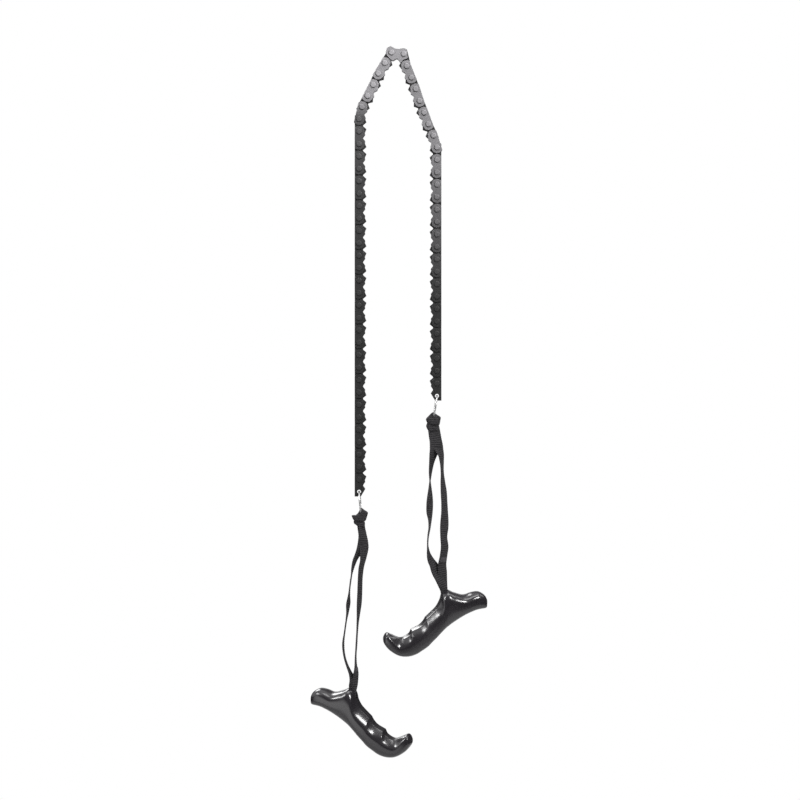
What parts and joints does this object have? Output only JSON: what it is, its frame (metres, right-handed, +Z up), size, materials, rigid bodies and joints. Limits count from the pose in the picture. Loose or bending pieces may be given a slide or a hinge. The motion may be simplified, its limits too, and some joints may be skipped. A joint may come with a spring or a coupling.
{
  "type": "hand chain saw",
  "caption": "Pocket hand chain saw: a riveted toothed chain hung over its middle, with a split ring, a webbing strap loop and a moulded finger-grooved grip at each end.",
  "frame": {"origin": "underside of the top link, midway between its rivets, where the chain hangs over its hold", "axes": "+Z up, +X to the right as the picture shows it, with the grips on the right and left runs, +Y away from the viewer, along the rivets"},
  "size_m": [0.1575, 0.037, 0.6272],
  "materials": {
    "bare_steel": "satin grey, worn bare",
    "worn_steel": "satin, between bare and black",
    "black_steel": "satin, blackened and oiled",
    "ring_wire": "bright plated",
    "webbing": "woven nylon webbing",
    "thread": "sewn thread",
    "grip_plastic": "gloss moulded"
  },
  "bodies": {
    "top_link": {"top_plate_front": "bare_steel", "top_plate_back": "bare_steel", "top_rivets": "bare_steel"},
    "link_left_01": {"link_left_01": "bare_steel"},
    "link_left_02": {"link_left_02": "bare_steel"},
    "link_left_03": {"link_left_03": "worn_steel"},
    "link_left_04": {"link_left_04": "worn_steel"},
    "link_left_05": {"link_left_05": "worn_steel"},
    "link_left_06": {"link_left_06": "black_steel"},
    "link_left_07": {"link_left_07": "black_steel"},
    "link_left_08": {"link_left_08": "black_steel"},
    "link_left_09": {"link_left_09": "black_steel"},
    "link_left_10": {"link_left_10": "black_steel"},
    "link_left_11": {"link_left_11": "black_steel"},
    "link_left_12": {"link_left_12": "black_steel"},
    "link_left_13": {"link_left_13": "black_steel"},
    "link_left_14": {"link_left_14": "black_steel"},
    "link_left_15": {"link_left_15": "black_steel"},
    "link_left_16": {"link_left_16": "black_steel"},
    "link_left_17": {"link_left_17": "black_steel"},
    "link_left_18": {"link_left_18": "black_steel"},
    "ring_left": {"ring_left": "ring_wire"},
    "strap_left": {"hitch_left": "webbing", "leg_a_left": "webbing", "leg_b_left": "webbing", "neck_left": "webbing", "stitch_patch_left": "thread"},
    "grip_left": {"grip_left": "grip_plastic", "stopper_left": "webbing"},
    "link_right_01": {"link_right_01": "bare_steel"},
    "link_right_02": {"link_right_02": "bare_steel"},
    "link_right_03": {"link_right_03": "bare_steel"},
    "link_right_04": {"link_right_04": "bare_steel"},
    "link_right_05": {"link_right_05": "bare_steel"},
    "link_right_06": {"link_right_06": "worn_steel"},
    "link_right_07": {"link_right_07": "worn_steel"},
    "link_right_08": {"link_right_08": "worn_steel"},
    "link_right_09": {"link_right_09": "black_steel"},
    "link_right_10": {"link_right_10": "black_steel"},
    "link_right_11": {"link_right_11": "black_steel"},
    "link_right_12": {"link_right_12": "black_steel"},
    "link_right_13": {"link_right_13": "black_steel"},
    "link_right_14": {"link_right_14": "black_steel"},
    "ring_right": {"ring_right": "ring_wire"},
    "strap_right": {"hitch_right": "webbing", "leg_a_right": "webbing", "leg_b_right": "webbing", "neck_right": "webbing", "stitch_patch_right": "thread"},
    "grip_right": {"grip_right": "grip_plastic", "stopper_right": "webbing"}
  },
  "joints": [
    {"name": "bend_left_01", "type": "hinge", "parent": "top_link", "child": "link_left_01", "pos_m": [-0.00546, 0, 0.00557], "axis": [0, 1, 0], "range_deg": [0, 36]},
    {"name": "bend_left_02", "type": "hinge", "parent": "link_left_01", "child": "link_left_02", "pos_m": [-0.01695, 0, -0.01319], "axis": [0, -1, 0], "range_deg": [-36, 0]},
    {"name": "bend_left_03", "type": "hinge", "parent": "link_left_02", "child": "link_left_03", "pos_m": [-0.0266, 0, -0.03296], "axis": [0, 1, 0], "range_deg": [0, 36]},
    {"name": "bend_left_04", "type": "hinge", "parent": "link_left_03", "child": "link_left_04", "pos_m": [-0.03406, 0, -0.05348], "axis": [0, -1, 0], "range_deg": [-36, 0]},
    {"name": "bend_left_05", "type": "hinge", "parent": "link_left_04", "child": "link_left_05", "pos_m": [-0.03406, 0, -0.07548], "axis": [0, 1, 0], "range_deg": [0, 36]},
    {"name": "bend_left_06", "type": "hinge", "parent": "link_left_05", "child": "link_left_06", "pos_m": [-0.03406, 0, -0.09748], "axis": [0, -1, 0], "range_deg": [-36, 0]},
    {"name": "bend_left_07", "type": "hinge", "parent": "link_left_06", "child": "link_left_07", "pos_m": [-0.03406, 0, -0.11948], "axis": [0, 1, 0], "range_deg": [0, 36]},
    {"name": "bend_left_08", "type": "hinge", "parent": "link_left_07", "child": "link_left_08", "pos_m": [-0.03406, 0, -0.14148], "axis": [0, -1, 0], "range_deg": [-36, 0]},
    {"name": "bend_left_09", "type": "hinge", "parent": "link_left_08", "child": "link_left_09", "pos_m": [-0.03406, 0, -0.16348], "axis": [0, 1, 0], "range_deg": [0, 36]},
    {"name": "bend_left_10", "type": "hinge", "parent": "link_left_09", "child": "link_left_10", "pos_m": [-0.03406, 0, -0.18548], "axis": [0, -1, 0], "range_deg": [-36, 0]},
    {"name": "bend_left_11", "type": "hinge", "parent": "link_left_10", "child": "link_left_11", "pos_m": [-0.03406, 0, -0.20748], "axis": [0, 1, 0], "range_deg": [0, 36]},
    {"name": "bend_left_12", "type": "hinge", "parent": "link_left_11", "child": "link_left_12", "pos_m": [-0.03406, 0, -0.22948], "axis": [0, -1, 0], "range_deg": [-36, 0]},
    {"name": "bend_left_13", "type": "hinge", "parent": "link_left_12", "child": "link_left_13", "pos_m": [-0.03406, 0, -0.25148], "axis": [0, 1, 0], "range_deg": [0, 36]},
    {"name": "bend_left_14", "type": "hinge", "parent": "link_left_13", "child": "link_left_14", "pos_m": [-0.03406, 0, -0.27348], "axis": [0, -1, 0], "range_deg": [-36, 0]},
    {"name": "bend_left_15", "type": "hinge", "parent": "link_left_14", "child": "link_left_15", "pos_m": [-0.03406, 0, -0.29548], "axis": [0, 1, 0], "range_deg": [0, 36]},
    {"name": "bend_left_16", "type": "hinge", "parent": "link_left_15", "child": "link_left_16", "pos_m": [-0.03406, 0, -0.31748], "axis": [0, -1, 0], "range_deg": [-36, 0]},
    {"name": "bend_left_17", "type": "hinge", "parent": "link_left_16", "child": "link_left_17", "pos_m": [-0.03406, 0, -0.33948], "axis": [0, 1, 0], "range_deg": [0, 36]},
    {"name": "bend_left_18", "type": "hinge", "parent": "link_left_17", "child": "link_left_18", "pos_m": [-0.03406, 0, -0.36148], "axis": [0, -1, 0], "range_deg": [-36, 0]},
    {"name": "ring_swing_left", "type": "hinge", "parent": "link_left_18", "child": "ring_left", "pos_m": [-0.03406, 0, -0.38348], "axis": [0, 1, 0], "range_deg": [-5, 90]},
    {"name": "strap_slide_left", "type": "hinge", "parent": "ring_left", "child": "strap_left", "pos_m": [-0.03325, 0, -0.39274], "axis": [0.9962, 0, 0.0872], "range_deg": [-80, 80]},
    {"name": "grip_tip_left", "type": "hinge", "parent": "strap_left", "child": "grip_left", "pos_m": [-0.03974, 0, -0.55581], "axis": [1, 0, 0], "range_deg": [-55, 55]},
    {"name": "bend_right_01", "type": "hinge", "parent": "top_link", "child": "link_right_01", "pos_m": [0.00546, 0, 0.00423], "axis": [0, -1, 0], "range_deg": [0, 36]},
    {"name": "bend_right_02", "type": "hinge", "parent": "link_right_01", "child": "link_right_02", "pos_m": [0.01224, 0, -0.01664], "axis": [0, 1, 0], "range_deg": [-36, 0]},
    {"name": "bend_right_03", "type": "hinge", "parent": "link_right_02", "child": "link_right_03", "pos_m": [0.01958, 0, -0.03737], "axis": [0, -1, 0], "range_deg": [0, 36]},
    {"name": "bend_right_04", "type": "hinge", "parent": "link_right_03", "child": "link_right_04", "pos_m": [0.02729, 0, -0.05798], "axis": [0, 1, 0], "range_deg": [-36, 0]},
    {"name": "bend_right_05", "type": "hinge", "parent": "link_right_04", "child": "link_right_05", "pos_m": [0.03498, 0, -0.07855], "axis": [0, -1, 0], "range_deg": [0, 36]},
    {"name": "bend_right_06", "type": "hinge", "parent": "link_right_05", "child": "link_right_06", "pos_m": [0.03498, 0, -0.10055], "axis": [0, 1, 0], "range_deg": [-36, 0]},
    {"name": "bend_right_07", "type": "hinge", "parent": "link_right_06", "child": "link_right_07", "pos_m": [0.03498, 0, -0.12255], "axis": [0, -1, 0], "range_deg": [0, 36]},
    {"name": "bend_right_08", "type": "hinge", "parent": "link_right_07", "child": "link_right_08", "pos_m": [0.03498, 0, -0.14455], "axis": [0, 1, 0], "range_deg": [-36, 0]},
    {"name": "bend_right_09", "type": "hinge", "parent": "link_right_08", "child": "link_right_09", "pos_m": [0.03498, 0, -0.16655], "axis": [0, -1, 0], "range_deg": [0, 36]},
    {"name": "bend_right_10", "type": "hinge", "parent": "link_right_09", "child": "link_right_10", "pos_m": [0.03498, 0, -0.18855], "axis": [0, 1, 0], "range_deg": [-36, 0]},
    {"name": "bend_right_11", "type": "hinge", "parent": "link_right_10", "child": "link_right_11", "pos_m": [0.03498, 0, -0.21055], "axis": [0, -1, 0], "range_deg": [0, 36]},
    {"name": "bend_right_12", "type": "hinge", "parent": "link_right_11", "child": "link_right_12", "pos_m": [0.03498, 0, -0.23255], "axis": [0, 1, 0], "range_deg": [-36, 0]},
    {"name": "bend_right_13", "type": "hinge", "parent": "link_right_12", "child": "link_right_13", "pos_m": [0.03498, 0, -0.25455], "axis": [0, -1, 0], "range_deg": [0, 36]},
    {"name": "bend_right_14", "type": "hinge", "parent": "link_right_13", "child": "link_right_14", "pos_m": [0.03498, 0, -0.27655], "axis": [0, 1, 0], "range_deg": [-36, 0]},
    {"name": "ring_swing_right", "type": "hinge", "parent": "link_right_14", "child": "ring_right", "pos_m": [0.03498, 0, -0.29855], "axis": [0, -1, 0], "range_deg": [-3, 90]},
    {"name": "strap_slide_right", "type": "hinge", "parent": "ring_right", "child": "strap_right", "pos_m": [0.03352, 0, -0.30773], "axis": [0.9877, 0, -0.1564], "range_deg": [-80, 80]},
    {"name": "grip_tip_right", "type": "hinge", "parent": "strap_right", "child": "grip_right", "pos_m": [0.04147, 0, -0.46892], "axis": [1, 0, 0], "range_deg": [-55, 55]}
  ]
}
